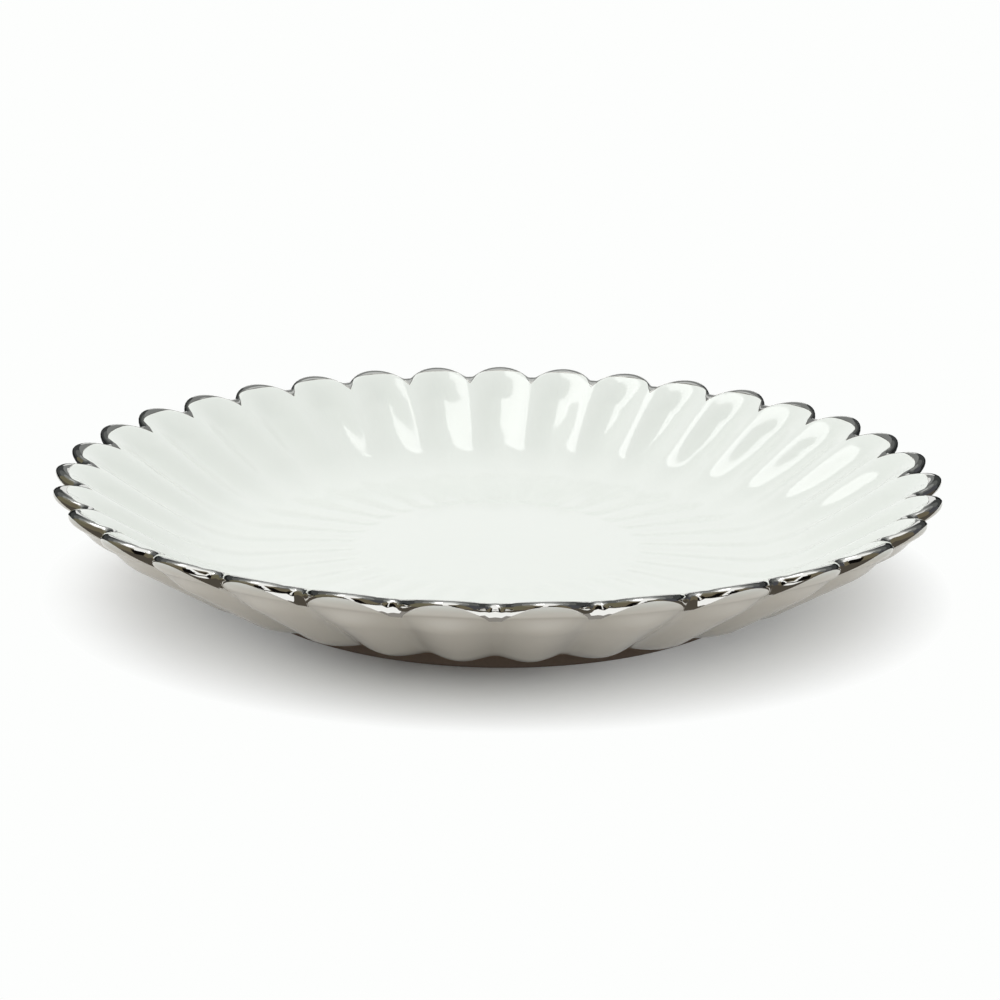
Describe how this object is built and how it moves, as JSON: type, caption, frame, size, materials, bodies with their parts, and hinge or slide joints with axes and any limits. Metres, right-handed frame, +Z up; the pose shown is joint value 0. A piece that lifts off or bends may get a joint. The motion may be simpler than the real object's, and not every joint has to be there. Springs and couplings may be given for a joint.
{
  "type": "snack dish",
  "caption": "Round shallow white glazed dish with petal-shaped flutes, a scalloped rim and a silver-coated lip, for serving snacks on a table.",
  "frame": {"origin": "on the table, under the centre of the dish", "axes": "+Z up, square to the table; +X to the right and +Y away from the camera of the picture"},
  "size_m": [0.2104, 0.2102, 0.0294],
  "materials": {
    "white_glaze": "gloss",
    "silver_lustre": "polished"
  },
  "bodies": {
    "root": {"dish_body": "white_glaze", "silver_rim": "silver_lustre"}
  },
  "joints": []
}
